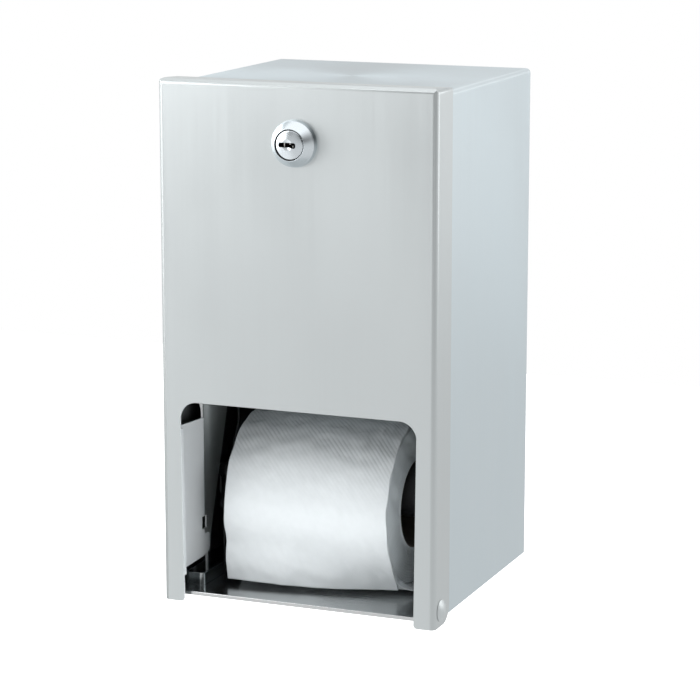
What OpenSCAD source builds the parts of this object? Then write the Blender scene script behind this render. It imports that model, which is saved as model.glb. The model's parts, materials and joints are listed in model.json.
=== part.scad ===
// Two-roll toilet tissue dispenser for a wall: a folded sheet cabinet, a door that tips down on
// two rivets, a tumbler lock, and two rolls on spindles that ride between guards and tracks.
// Frame: X across (right seen from the front), Y from the door (-) to the wall (0), Z up.
// The origin is the middle of the four wall holes, on the back face.
// Inside the modules a point of a side view is [depth, height]: depth runs back from the door's
// face and height runs up from the feet of the door.

/* [Door] */
// Width over the door
unit_w = 154; // [150:1:170]
// Height of the door, from its feet to its top
unit_h = 279; // [276:1:290]
// Depth from the door's face to the wall
unit_d = 151; // [148:1:165]
// Thickness of the door sheet
door_t = 1.2; // [1:0.1:1.4]
// Depth of the door's rim
rim_d = 22; // [20:0.5:24]
// Outer radius of the door's bends
bend_r = 3; // [2:0.5:4]
// Width of the tissue opening at its top
opening_w = 133; // [127:1:133]
// Top of the tissue opening above the feet
opening_h = 109; // [100:1:110]
// Radius of the opening's upper corners
opening_r = 9.5; // [6:0.5:12]
// How much wider each leg beside the opening is at its foot
leg_taper = 1.3; // [0:0.1:2]
// Depth of the folded lips beside the opening
lip_d = 3.5; // [2.5:0.1:3.6]

/* [Cabinet] */
// Thickness of the cabinet sheet
sheet_t = 1; // [0.8:0.1:1]
// Gap between the door's rim and the cabinet's side
side_gap = 0.6; // [0.5:0.1:0.8]
// Height of the cabinet's roof above the feet
roof_h = 275.8; // [274:0.1:276]
// Depth at which the cabinet starts behind the door's face
cab_front_d = 4.5; // [4.2:0.1:5.5]
// Height of the cabinet's lower edge above the feet
cab_low_h = 2.4; // [2.4:0.1:2.8]
// Spacing of the wall holes across
hole_dx = 100; // [90:1:110]
// Spacing of the wall holes up and down
hole_dz = 200; // [180:1:210]
// Radius of the wall holes
hole_r = 2.75; // [2.5:0.05:3]

/* [Hinge and lock] */
// Depth of the hinge axis behind the door's face
hinge_d = 9.5; // [9.2:0.1:9.8]
// Height of the hinge axis above the feet
hinge_h = 8.5; // [8.2:0.1:8.8]
// Radius of the hinge rivets' shanks
rivet_r = 2.5; // [2:0.1:3]
// Height of the lock above the feet
lock_h = 248.5; // [244:0.5:250]
// Radius of the lock's front ring
bezel_r = 12.2; // [11.8:0.1:13]
// Radius of the lock's plug
plug_r = 7.6; // [7.4:0.1:8]

/* [Rolls] */
// Width of a roll
roll_w = 93.5; // [90:0.5:104]
// Radius of the roll in use
use_r = 43.5; // [30:0.5:43.5]
// Radius of the reserve roll
spare_r = 57; // [45:1:58]
// Inner radius of a roll's core
core_r = 22.8; // [20:0.1:23]
// Wall of a roll's core
core_t = 1; // [0.8:0.1:1.2]
// Depth of the roll in use behind the door's face
use_d = 63; // [62.5:0.5:63.5]
// Height of its middle above the feet
use_h = 49.5; // [49.5:0.5:50.5]
// Depth of the reserve roll behind the door's face
spare_d = 74; // [72:0.5:74]
// Height of the reserve roll's middle above the feet
spare_h = 175; // [174:1:176]
// How far the roll in use sits left of the middle
use_shift = 3.5; // [0:0.1:4]
// Radius of a spindle's barrel
barrel_r = 15; // [12:0.5:16]
// Radius of a spindle's end pins
pin_r = 4; // [3.5:0.1:4]

/* [Hidden] */

$fn = 96;
eps = 0.01;         // overshoot of a cut past the face it opens

// Cabinet
rim_x = unit_w / 2 - door_t;          // inner face of the door's rim
cab_x = rim_x - side_gap;             // outer face of the cabinet's side
wall_x = cab_x - sheet_t;             // inner face of the cabinet's side
back_d = unit_d - sheet_t;            // front face of the back panel
cab_r = 2.5;                          // outer radius of the cabinet's roof bends
floor_under = cab_low_h + sheet_t;    // underside of the floor
floor_top = floor_under + sheet_t;    // top of the floor
floor_front = cab_front_d + 0.5;      // depth of the floor's front edge
hem_d = 7;                            // depth of the hem under that edge
flange_w = 9;                         // welding flanges of the floor and back
steel = [0.80, 0.81, 0.82];
dark_steel = [0.55, 0.57, 0.59];

// Plates that carry the spindles, on each side
plate_x = 68;                         // inner face of the guards and tracks
bend_d = 31;                          // depth of the guard's bend
guard_top = 200;                      // top of the guard
flare_d = 9;                          // front edge of the guard's flared panel
flare_x = 71;                         // its inner face at that edge
flare_low = 14.2;                     // bottom of the flared panel at that edge
flare_high = 93.6;                    // top of the flared panel
slot_half = pin_r + 0.5;              // half width of the spindle's track
stud_r = 2.5;

// Release levers
pivot_d = spare_d + 30;
pivot_h = 150;
lever_pin_r = 3;
lever_t = 1.6;
lever_x = plate_x + sheet_t + 0.6;    // inner face of a lever
boss_h = 2.6;                         // length of a lever's boss

// Rolls and spindles
hang = core_r - barrel_r - 0.15;      // how far a roll's middle hangs below its spindle
paper_r = core_r + core_t + 0.05;     // innermost radius of the paper
barrel_x = 57;                        // half length of a spindle's barrel
collar_x = 66.5;                      // outer face of a spindle's collar
pin_x = 72.2;                         // end of a spindle's pin
lever_reach = norm([spare_d - pivot_d, spare_h + hang - pivot_h]) - pin_r - 0.15;
tail_gap = 0.4;                       // between the roll and the hanging sheet
tail_t = 0.5;                         // thickness of the hanging sheet
tail_release = 25;                    // angle below the roll's front where it leaves the roll
tail_end_left = [24, 7.4];            // depth and height of its free edge, left and right
tail_end_right = [37.5, 7.5];
tail_strips = 4;                      // strips across the sheet

// Lock
barrel_lock_r = plug_r + 1.5;         // outside of the lock's barrel
bezel_out = 7.8;                      // how far the ring stands out
rim_out = 3.2;                        // where its rim ends and its cone starts
nut_t = 3;
washer_t = 0.8;
lock_back_d = 13;                     // rear end of the barrel
cam_d = 14.2;                         // front face of the cam
cam_t = 1.6;
cam_reach = 22.5;                     // end of the cam from the lock's axis

// ---- placing ----

// A side view [depth, height], extruded from x0 to x1
module from_side(x0, x1)
    translate([x0, -unit_d, -unit_h / 2]) rotate([90, 0, 90]) linear_extrude(x1 - x0) children();

// A front view [x, height], extruded from depth d0 to d1
module from_front(d0, d1)
    translate([0, d1 - unit_d, -unit_h / 2]) rotate([90, 0, 0]) linear_extrude(d1 - d0) children();

// A plan [x, depth], extruded from height h0 to h1
module from_above(h0, h1)
    translate([0, -unit_d, h0 - unit_h / 2]) linear_extrude(h1 - h0) children();

// A cylinder along X
module across(x0, x1, d, h, r)
    from_side(x0, x1) translate([d, h]) circle(r);

// A shape turned about X from a profile [radius, x]
module turned_across(d, h)
    translate([0, d - unit_d, h - unit_h / 2]) rotate([90, 0, 90]) rotate_extrude() children();

// A shape turned about Y at the lock's axis from a profile [radius, depth]
module turned_at_lock()
    translate([0, -unit_d, lock_h - unit_h / 2]) rotate([-90, 0, 0]) rotate_extrude() children();

// Children on the left and mirrored on the right
module both_sides() {
    children();
    mirror([1, 0, 0]) children();
}

// ---- flat shapes ----

module box2d(x0, y0, x1, y1)
    translate([x0, y0]) square([x1 - x0, y1 - y0]);

// What a round corner of radius r takes off a square one that points along sx, sy
module corner2d(x, y, r, sx, sy)
    translate([x, y]) scale([sx, sy]) difference() {
        translate([-r, -r]) square(r + 1);
        translate([-r, -r]) circle(r);
    }

// A bar of width w whose round ends are a little fuller than its sides, so they cross cleanly
module bar2d(a, b, w) {
    run = b - a;
    translate(a) circle(w / 2 + 0.1);
    translate(b) circle(w / 2 + 0.1);
    translate(a) rotate(atan2(run[1], run[0])) translate([0, -w / 2]) square([norm(run), w]);
}

// ---- cabinet ----

module wrap_solid(inset, cut) {
    r = cab_r - inset;
    from_front(cab_front_d - cut, unit_d + cut) difference() {
        box2d(inset - cab_x, cab_low_h - cut, cab_x - inset, roof_h - inset);
        corner2d(cab_x - inset, roof_h - inset, r, 1, 1);
        corner2d(inset - cab_x, roof_h - inset, r, -1, 1);
    }
}

module cabinet_wrap() {
    front_corner_r = 6;
    color(steel) difference() {
        wrap_solid(0, 0);
        wrap_solid(sheet_t, 1);
        from_side(-unit_w, unit_w) corner2d(cab_front_d, cab_low_h, front_corner_r, -1, -1);
        across(-unit_w, unit_w, hinge_d, hinge_h, rivet_r);
    }
}

module back_panel() {
    flange_top = roof_h - sheet_t - cab_r;
    color(steel) {
        difference() {
            from_front(back_d, unit_d) box2d(-wall_x, floor_under, wall_x, roof_h - sheet_t);
            wall_holes();
            from_front(back_d - 1, unit_d + 1) roof_corners();
        }
        both_sides() from_side(wall_x - sheet_t, wall_x)
            box2d(back_d - flange_w, floor_top + flange_w, back_d, flange_top);
    }
}

// The bends of the roof, which the back panel's upper corners stay clear of
module roof_corners() {
    corner2d(wall_x, roof_h - sheet_t, cab_r - sheet_t, 1, 1);
    corner2d(-wall_x, roof_h - sheet_t, cab_r - sheet_t, -1, 1);
}

module wall_holes()
    for (x = [-hole_dx / 2, hole_dx / 2], z = [-hole_dz / 2, hole_dz / 2])
        translate([x, 1, z]) rotate([90, 0, 0]) cylinder(h = sheet_t + 2, r = hole_r);

module floor_panel() {
    flange_front = 46;
    flange_back = back_d - flange_w - 2;
    color(steel) {
        from_above(floor_under, floor_top) box2d(-wall_x, floor_front, wall_x, back_d);
        from_above(cab_low_h, floor_under) box2d(-wall_x, floor_front, wall_x, floor_front + hem_d);
        both_sides() from_side(wall_x - sheet_t, wall_x)
            box2d(flange_front, floor_top, flange_back, floor_top + flange_w);
    }
}

// The tab under the roof that the lock's cam hooks behind
module lock_strike() {
    tab_d = 11.6;
    tab_t = 1.2;
    tab_low = 260.5;
    tab_half = 14;
    weld_w = 14;
    color(steel) from_side(-tab_half, tab_half) {
        box2d(tab_d, tab_low, tab_d + tab_t, roof_h - sheet_t);
        box2d(tab_d, roof_h - sheet_t - tab_t, tab_d + weld_w, roof_h - sheet_t);
    }
}

// ---- spindle guards and tracks ----

// Front plate beside the rolls: a flared panel at the bottom front, a bend, and a tapering plate
module spindle_guard() {
    slant_low = [40.5, 29];
    slant_high = [spare_d - slot_half, 112];
    notch = [29.6, 31.8, 34.7, 38.8];
    tab_end = 36.8;
    tab_top = 29;
    tab_r = 1.5;
    heel = [[34.8, 17.9], [36.2, 19.1], [tab_end, 20.8]];
    web_d = bend_d + 8;
    web_low = 20;
    leg = [34.8, 36.4];
    lip_edge = [[0, flare_high + 1], [3.2, 106], [6, 118], [6, guard_top], [0, guard_top]];
    slope = (flare_x - plate_x) / (bend_d - flare_d);
    color(steel) difference() {
        union() {
            from_side(plate_x, plate_x + sheet_t) {
                polygon([
                    [bend_d, web_low], [bend_d, guard_top], [slant_high[0], guard_top],
                    slant_high, slant_low, [web_d, web_low]
                ]);
                box2d(leg[0], floor_top, leg[1], tab_top);
            }
            intersection() {
                from_above(flare_low, flare_high) flare2d(flare_d, tab_end, slope);
                from_side(0, unit_w) difference() {
                    polygon(concat([[flare_d, flare_low], [bend_d, flare_low + 2.5]], heel, [
                        [tab_end, tab_top], [bend_d + sheet_t, tab_top],
                        [bend_d + sheet_t, flare_high], [flare_d, flare_high]
                    ]));
                    corner2d(tab_end, tab_top, tab_r, 1, 1);
                }
            }
            from_front(bend_d, bend_d + sheet_t) translate([plate_x, 0]) polygon(lip_edge);
        }
        from_side(0, unit_w) box2d(notch[0], notch[1], notch[2], notch[3]);
    }
}

// Plan of the flared panel between two depths
module flare2d(d0, d1, slope) {
    function inner(d) = plate_x + (bend_d - d) * slope;
    polygon([[inner(d0), d0], [inner(d0) + sheet_t, d0], [inner(d1) + sheet_t, d1], [inner(d1), d1]]);
}

module spindle_guard_left() mirror([1, 0, 0]) spindle_guard();
module spindle_guard_right() spindle_guard();

// Rear plate beside the rolls: its front edge is the back of the spindles' track, and the lower
// spindle's pin rests in a seat behind a small stop
module track_plate() {
    back_edge = spare_d + slot_half;
    seat_back = use_d + slot_half;
    plate_top = 258;
    seat_h = use_h + hang - pin_r - 0.15;
    throat = [[back_edge, 82], [seat_back + 1.5, 66], [seat_back, 61]];
    stop_h = seat_h + 3;
    stop_d = use_d - 9;
    stop_t = 2;
    foot_d = use_d - 5;
    flange = 12;
    color(dark_steel) {
        difference() {
            from_side(plate_x, plate_x + sheet_t) polygon(concat(
                [[back_edge, plate_top]], throat, [
                    [seat_back, seat_h], [stop_d + stop_t + 1, seat_h], [stop_d + stop_t, stop_h],
                    [stop_d, stop_h], [stop_d, seat_h - 6], [foot_d, seat_h - 10],
                    [foot_d, floor_top], [back_d, floor_top], [back_d, plate_top]
                ]
            ));
            across(0, unit_w, pivot_d, pivot_h, lever_pin_r);
        }
        from_side(plate_x - flange, plate_x + eps) box2d(back_d - sheet_t, floor_top, back_d, plate_top);
    }
}

module track_plate_left() mirror([1, 0, 0]) track_plate();
module track_plate_right() track_plate();

// Low strip bent to a U, standing on the floor around the guard's leg
module foot_bracket() {
    inner_x = 61.6;
    outer_x = 73;
    front = 17;
    rear = 44;
    r = 3;
    top_h = 11.1;
    color(steel) from_above(floor_top, top_h) difference() {
        u_plan(inner_x, outer_x, front, rear, r);
        u_plan(inner_x + sheet_t, outer_x - sheet_t, front + sheet_t, rear + 1, r - sheet_t);
    }
}

module u_plan(x0, x1, d0, d1, r) difference() {
    box2d(x0, d0, x1, d1);
    corner2d(x0, d0, r, -1, -1);
    corner2d(x1, d0, r, 1, -1);
}

module foot_bracket_left() mirror([1, 0, 0]) foot_bracket();
module foot_bracket_right() foot_bracket();

// Studs that hold the guards and tracks off the cabinet's sides
module plate_studs() {
    places = [[45, 190], [40, 120], [100, 245], [112, 20]];
    color(dark_steel) both_sides()
        for (p = places) across(plate_x + sheet_t, wall_x, p[0], p[1], stud_r);
}

// ---- release levers ----

// Bell crank under the spare spindle's pin: its pad is an arc about the pivot, its foot waits
// under the lower spindle's pin, and its lobe keeps it against its stop
module release_lever() {
    pin_angle = atan2(spare_h + hang - pivot_h, spare_d - pivot_d);
    pad_from = pin_angle - 5;
    pad_to = pin_angle + 14;
    arm_angle = pin_angle + 4.5;
    knee = [-8, -106];
    foot = [-42, -111];
    lobe = [28, -20];
    lobe_r = 13;
    hub_r = 7;
    boss_r = 6;
    arm_w = 7;
    shank_w = 8;
    neck_w = 9;
    far = 60;
    play = 0.06;
    pad_in = lever_reach - 7;
    color(dark_steel) difference() {
        union() {
            from_side(lever_x, lever_x + lever_t) translate([pivot_d, pivot_h]) {
                intersection() {
                    difference() {
                        circle(lever_reach);
                        circle(pad_in);
                    }
                    wedge2d(pad_from, pad_to, far);
                }
                bar2d([0, 0], (pad_in + 2) * [cos(arm_angle), sin(arm_angle)], arm_w);
                bar2d([0, 0], knee, shank_w);
                bar2d(knee, foot, arm_w);
                bar2d([0, 0], lobe, neck_w);
                translate(lobe) circle(lobe_r);
                circle(hub_r);
            }
            across(lever_x, lever_x + boss_h, pivot_d, pivot_h, boss_r);
        }
        across(0, unit_w, pivot_d, pivot_h, lever_pin_r + play);
    }
}

module wedge2d(a0, a1, r)
    polygon([[0, 0], r * [cos(a0), sin(a0)], r * [cos(a1), sin(a1)]]);

module release_lever_left() mirror([1, 0, 0]) release_lever();
module release_lever_right() release_lever();

module lever_pin() {
    head_r = 5;
    head_t = 1.4;
    end_x = wall_x - 0.3;
    color(steel) {
        across(plate_x - eps, end_x, pivot_d, pivot_h, lever_pin_r);
        across(plate_x - head_t, plate_x, pivot_d, pivot_h, head_r);
    }
}

module lever_pin_left() mirror([1, 0, 0]) lever_pin();
module lever_pin_right() lever_pin();

module lever_clips() {
    clip_x = lever_x + boss_h + 0.3;
    clip_t = 0.6;
    clip_r = 5;
    mouth = 1.5;
    color(dark_steel) both_sides() difference() {
        across(clip_x, clip_x + clip_t, pivot_d, pivot_h, clip_r);
        across(0, unit_w, pivot_d, pivot_h, lever_pin_r);
        from_side(0, unit_w) box2d(pivot_d - mouth, pivot_h - clip_r - 1, pivot_d + mouth, pivot_h);
    }
}

// ---- hinge ----

// Rivet with a domed head outside the door's rim and a formed head inside the cabinet
module hinge_rivet() {
    head_r = 5.9;
    head_h = 1.9;
    head_x = unit_w / 2 + 0.15;
    ball_r = (head_r * head_r + head_h * head_h) / (2 * head_h);
    tail_r = rivet_r + 1.1;
    tail_h = 1.2;
    color(steel) turned_across(hinge_d, hinge_h) {
        box2d(0, wall_x - tail_h, tail_r, wall_x);
        box2d(0, wall_x - eps, rivet_r, head_x + eps);
        intersection() {
            translate([0, head_x + head_h - ball_r]) circle(ball_r);
            box2d(0, head_x, head_r, head_x + head_h);
        }
    }
}

module hinge_rivet_left() mirror([1, 0, 0]) hinge_rivet();
module hinge_rivet_right() hinge_rivet();

module hinge_washers() {
    washer_r = 5;
    color("white") both_sides() difference() {
        across(cab_x, cab_x + side_gap - 0.1, hinge_d, hinge_h, washer_r);
        across(0, unit_w, hinge_d, hinge_h, rivet_r);
    }
}

// ---- door ----

// The door as a block, its faces moved in by inset and its open sides out by cut; its top falls a
// little towards the cabinet
module pan_solid(inset, cut) {
    x = unit_w / 2 - inset;
    top_h = unit_h - inset;
    r = bend_r - inset;
    top_fall = 1.2;
    rear_h = top_h - top_fall * (rim_d + cut - bend_r) / (rim_d - bend_r);
    intersection() {
        from_above(-cut, unit_h) difference() {
            box2d(-x, inset, x, rim_d + cut);
            corner2d(x, inset, r, 1, -1);
            corner2d(-x, inset, r, -1, -1);
        }
        from_side(-unit_w, unit_w) difference() {
            polygon([
                [inset, -cut], [rim_d + cut, -cut], [rim_d + cut, rear_h], [bend_r, top_h],
                [inset, top_h]
            ]);
            corner2d(inset, top_h, r, -1, 1);
        }
        from_front(0, rim_d + cut) difference() {
            box2d(-x, -cut, x, top_h);
            corner2d(x, top_h, r, 1, 1);
            corner2d(-x, top_h, r, -1, 1);
        }
    }
}

module door_panel() {
    lip_top = 94;
    lip_low = 14;
    foot_r = 2;
    heel_r = 9;
    rivet_play = 0.08;
    hole_depth = 5;
    half = opening_w / 2;
    function edge_x(h) = half - leg_taper * (opening_h - h) / opening_h;
    lip = [for (h = [lip_low, lip_top]) edge_x(h)];
    color(steel) difference() {
        union() {
            difference() {
                pan_solid(0, 0);
                pan_solid(door_t, 1);
                from_front(-1, door_t + eps) difference() {
                    polygon([
                        [-edge_x(-1), -1], [edge_x(-1), -1], [half, opening_h], [-half, opening_h]
                    ]);
                    corner2d(half, opening_h, opening_r, 1, 1);
                    corner2d(-half, opening_h, opening_r, -1, 1);
                }
            }
            both_sides() from_front(door_t - eps, lip_d) polygon([
                [lip[0], lip_low], [lip[0] + door_t, lip_low], [lip[1] + door_t, lip_top], [lip[1], lip_top]
            ]);
        }
        both_sides() from_front(-1, lip_d + 1) corner2d(edge_x(0), 0, foot_r, -1, -1);
        from_side(-unit_w, unit_w) corner2d(rim_d, 0, heel_r, 1, -1);
        across(-unit_w, unit_w, hinge_d, hinge_h, rivet_r + rivet_play);
        turned_at_lock() box2d(0, -1, barrel_lock_r, hole_depth);
    }
}

// ---- lock ----

// Turned profile [radius, depth]: barrel, rim and cone, and the groove around the plug
module lock_housing() {
    bore = plug_r + 0.05;
    groove_r = plug_r + 0.4;
    groove_d = 1.1 - bezel_out;
    rim = [[bezel_r, 0], [bezel_r, -0.6], [bezel_r - 0.5, -rim_out]];
    crest = [[groove_r + 0.3, 0.1 - bezel_out], [groove_r + 0.1, -bezel_out], [groove_r, 0.1 - bezel_out]];
    groove = [[groove_r, groove_d], [bore, groove_d]];
    barrel = [[bore, lock_back_d], [barrel_lock_r, lock_back_d], [barrel_lock_r, 0]];
    color("silver") turned_at_lock() polygon(concat(barrel, rim, crest, groove));
}

module lock_washer() {
    washer_r = 14;
    color("silver") turned_at_lock() box2d(barrel_lock_r, door_t, washer_r, door_t + washer_t);
}

module lock_nut() {
    flats = 26;
    start = door_t + washer_t;
    color("goldenrod") difference() {
        from_front(start, start + nut_t) translate([0, lock_h]) circle(flats / sqrt(3), $fn = 6);
        turned_at_lock() box2d(0, start - 1, barrel_lock_r, start + nut_t + 1);
    }
}

// The key's cylinder, its slot level at rest
module lock_plug() {
    slot_w = 9.4;
    slot_t = 2.4;
    slot_x = -1.1;
    slot_d = 8;
    tang = 7;
    dome = 1;
    screw_hole = [2, 6];
    tang_d = cam_d - 0.2;
    ball_r = (plug_r * plug_r + dome * dome) / (2 * dome);
    rim = 0.6 - bezel_out;
    color("silver") difference() {
        union() {
            turned_at_lock() {
                box2d(0, rim, plug_r, tang_d);
                intersection() {
                    translate([0, rim - dome + ball_r]) circle(ball_r);
                    box2d(0, rim - dome, plug_r, rim + eps);
                }
            }
            from_front(tang_d - eps, cam_d + cam_t) translate([-tang / 2, lock_h - tang / 2]) square(tang);
        }
        from_front(rim - dome - 1, rim - dome + slot_d) translate([slot_x, lock_h])
            box2d(-slot_w / 2, -slot_t / 2, slot_w / 2, slot_t / 2);
        turned_at_lock() box2d(0, cam_d - screw_hole[1], screw_hole[0], cam_d + cam_t + 1);
    }
}

// Flat arm on the plug, level at rest, that turns up behind the strike
module lock_cam() {
    tang = 7;
    hub_r = 7.5;
    arm_half = 6;
    tip_w = 10;
    tip_x = -cam_reach + tip_w / 2;
    color("silver") from_front(cam_d, cam_d + cam_t) translate([0, lock_h]) difference() {
        union() {
            circle(hub_r);
            box2d(tip_x - 1, -arm_half, 0, arm_half);
            bar2d([tip_x, -1], [tip_x, 1], tip_w);
        }
        square(tang, center = true);
    }
}

module cam_screw() {
    shank = [2, 5];
    head = [4.6, 2];
    color("silver") turned_at_lock() {
        box2d(0, cam_d - shank[1], shank[0], cam_d + cam_t + eps);
        box2d(0, cam_d + cam_t, head[0], cam_d + cam_t + head[1]);
    }
}

// ---- rolls ----

// One-piece moulded spindle: barrel, tapered shoulders, collars and end pins
module spindle(d, h) {
    collar_r = 8;
    shoulder = 5;
    bevel = 0.6;
    right = [
        [barrel_r, barrel_x], [collar_r, barrel_x + shoulder], [collar_r, collar_x],
        [pin_r, collar_x], [pin_r, pin_x - bevel], [pin_r - bevel, pin_x], [0, pin_x]
    ];
    left = [for (p = reversed(right)) [p[0], -p[1]]];
    color([0.08, 0.08, 0.09]) turned_across(d, h) polygon(concat(left, right));
}

module tube(d, h, shift, inner_r, outer_r) difference() {
    across(shift - roll_w / 2, shift + roll_w / 2, d, h, outer_r);
    across(-unit_w, unit_w, d, h, inner_r);
}

module spindle_lower() spindle(use_d, use_h + hang);
module spindle_upper() spindle(spare_d, spare_h + hang);
module core_lower() color("tan") tube(use_d, use_h, -use_shift, core_r, core_r + core_t);
module core_upper() color("tan") tube(spare_d, spare_h, 0, core_r, core_r + core_t);
module roll_lower() color("white") tube(use_d, use_h, -use_shift, paper_r, use_r);
module roll_upper() color("white") tube(spare_d, spare_h, 0, paper_r, spare_r);

// Side view of the hanging sheet: it follows the roll's front, then runs straight to its end
function tail_line(r, release, end) = [
    for (a = [150 : 5 : 180 + release]) [use_d + r * cos(a), use_h + r * sin(a)],
    end
];

function reversed(list) = [for (i = [len(list) - 1 : -1 : 0]) list[i]];

// The loop around the sheet's edge at one place across the roll
function tail_section(x, end) = [
    for (p = concat(
        tail_line(use_r + tail_gap + tail_t, tail_release, end),
        reversed(tail_line(use_r + tail_gap, tail_release, end + [tail_t, 0]))
    )) [x, p[0] - unit_d, p[1] - unit_h / 2]
];

// Slack plies under the front of the roll, between it and the hanging sheet
module slack_plies() {
    gap = 0.3;
    top_offset = 11;
    sag = [[44, 5.7], [51, 5.3], [58, 5.6]];
    touch_from = 266;
    touch_to = 222;
    middle = [use_d, use_h];
    leave = 180 + tail_release;
    from = middle + (use_r + tail_gap) * [cos(leave), sin(leave)];
    end = tail_end_right + [tail_t, 0];
    along = (end - from) / norm(end - from);
    inward = [-along[1], along[0]];
    color("white") from_side(-use_shift - roll_w / 2, -use_shift + roll_w / 2) polygon(concat(
        [from + top_offset * along + gap * inward, end + gap * inward],
        sag,
        [for (a = [touch_from : -5 : touch_to]) middle + (use_r + gap) * [cos(a), sin(a)]]
    ));
}

// The sheet hangs straighter at its left edge than at its right one, so its sections differ
module paper_tail() {
    sections = [for (s = [0 : 1 / tail_strips : 1])
        tail_section(-use_shift + roll_w * (s - 0.5), (1 - s) * tail_end_left + s * tail_end_right)];
    n = len(sections[0]);
    last = n * tail_strips;
    quads = [for (k = [0 : tail_strips - 1], i = [0 : n - 1])
        [k * n + i, (k + 1) * n + i, (k + 1) * n + (i + 1) % n, k * n + (i + 1) % n, i]];
    color("white") polyhedron(
        points = [for (loop = sections, p = loop) p],
        faces = concat(
            [for (i = [0 : n / 2 - 2]) [n - 1 - i, n - 2 - i, i + 1, i]],
            [for (i = [0 : n / 2 - 2]) [last + i, last + i + 1, last + n - 2 - i, last + n - 1 - i]],
            [for (q = quads) q[4] < n / 2 ? [q[2], q[1], q[0]] : [q[3], q[1], q[0]]],
            [for (q = quads) q[4] < n / 2 ? [q[3], q[2], q[0]] : [q[3], q[2], q[1]]]
        )
    );
}

cabinet_wrap();
back_panel();
floor_panel();
lock_strike();
spindle_guard_left();
spindle_guard_right();
track_plate_left();
track_plate_right();
foot_bracket_left();
foot_bracket_right();
plate_studs();
lever_pin_left();
lever_pin_right();
lever_clips();
hinge_rivet_left();
hinge_rivet_right();
hinge_washers();
door_panel();
lock_housing();
lock_washer();
lock_nut();
lock_plug();
lock_cam();
cam_screw();
release_lever_left();
release_lever_right();
spindle_lower();
slack_plies();
paper_tail();
core_lower();
roll_lower();
spindle_upper();
core_upper();
roll_upper();
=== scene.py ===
import json
import math
from collections import namedtuple

import bmesh
import bpy
import numpy as np
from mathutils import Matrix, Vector


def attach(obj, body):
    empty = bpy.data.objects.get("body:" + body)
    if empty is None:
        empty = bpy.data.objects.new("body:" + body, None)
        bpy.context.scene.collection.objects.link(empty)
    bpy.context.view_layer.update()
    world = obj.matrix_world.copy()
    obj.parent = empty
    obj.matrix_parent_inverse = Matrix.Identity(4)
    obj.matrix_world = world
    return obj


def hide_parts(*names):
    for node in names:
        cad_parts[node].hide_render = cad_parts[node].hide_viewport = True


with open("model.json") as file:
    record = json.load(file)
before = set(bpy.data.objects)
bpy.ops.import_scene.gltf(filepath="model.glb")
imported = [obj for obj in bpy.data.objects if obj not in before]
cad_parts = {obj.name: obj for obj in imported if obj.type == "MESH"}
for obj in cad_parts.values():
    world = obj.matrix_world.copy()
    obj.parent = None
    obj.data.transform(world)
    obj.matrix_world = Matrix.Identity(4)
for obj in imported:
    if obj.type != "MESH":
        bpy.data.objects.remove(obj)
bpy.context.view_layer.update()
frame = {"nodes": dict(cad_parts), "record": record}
scene = bpy.context.scene
bodies = frame["record"]["behaviour"]["bodies"]
body_of_node = {node_name: body for body, names in bodies.items() for node_name in names}

# ---- sizes, in millimetres: x across, depth behind the door's face, height above the door's feet ----

MM = 0.001
UNIT_DEPTH, HALF_HEIGHT = 151, 139.5
LOCK_X, LOCK_H = 0.0, 248.5
ROLL_W = 93.5
CORE_R, CORE_T = 22.8, 1
PAPER_R = CORE_R + CORE_T + 0.05

# A roll's axis, how far it stands off the middle, and its outer radius
Roll = namedtuple("Roll", "depth height shift radius")
IN_USE = Roll(depth=63, height=49.5, shift=-3.5, radius=43.5)
IN_RESERVE = Roll(depth=74, height=175, shift=0, radius=57)

# ---- camera ----

CAMERA_AT = (0.5315, -1.3895, 0.2767)
CAMERA_AZIMUTH, CAMERA_DOWN = 22.04, 11.51
CAMERA_LENS, CAMERA_SENSOR = 137.5, 36
NEAREST, FARTHEST = 0.05, 40

camera = bpy.data.objects.new("camera", bpy.data.cameras.new("camera"))
scene.collection.objects.link(camera)
camera.location = CAMERA_AT
camera.rotation_euler = (math.radians(90 - CAMERA_DOWN), 0, math.radians(CAMERA_AZIMUTH))
camera.data.lens = CAMERA_LENS
camera.data.sensor_width = CAMERA_SENSOR
camera.data.clip_start, camera.data.clip_end = NEAREST, FARTHEST
scene.camera = camera
scene.view_settings.view_transform = "Standard"

# ---- shader nodes ----


def graph(tree):
    """Empties a node tree and returns a function that adds a node and fills its inputs."""
    tree.nodes.clear()

    def node(kind, inputs=(), **settings):
        made = tree.nodes.new(kind)
        for key, value in settings.items():
            setattr(made, key, value)
        for key, value in dict(inputs).items():
            if isinstance(value, bpy.types.NodeSocket):
                tree.links.new(value, made.inputs[key])
            else:
                made.inputs[key].default_value = value
        return made

    return node


def maths(node, operation, *values):
    """The result of a Math node."""
    return node("ShaderNodeMath", dict(enumerate(values)), operation=operation).outputs[0]


MATERIALS = {}


def new_material(name):
    """Adds a material to MATERIALS and returns the function that fills its node tree."""
    material = bpy.data.materials.new(name)
    material.use_nodes = True
    MATERIALS[name] = material
    return graph(material.node_tree)


def finish_material(node, sockets):
    """Adds the surface shader and the material's output."""
    shader = node("ShaderNodeBsdfPrincipled", sockets)
    node("ShaderNodeOutputMaterial", {0: shader.outputs[0]})


# ---- studio light and floor ----


def toward(azimuth, elevation):
    """Direction from the unit, in degrees: azimuth right of straight ahead, elevation above level."""
    a, e = math.radians(azimuth), math.radians(elevation)
    return Vector((math.sin(a) * math.cos(e), -math.cos(a) * math.cos(e), math.sin(e)))


# Brightness that every direction has, and the least that is left once the dark zones are taken off
AROUND, LEAST = 0.625, 0.02
# Added low down and high up: the direction's height where it starts and where it is full, amount
BY_HEIGHT = [(0.25, -0.35, 0.15), (0.2, 0.85, 0.695)]
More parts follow.
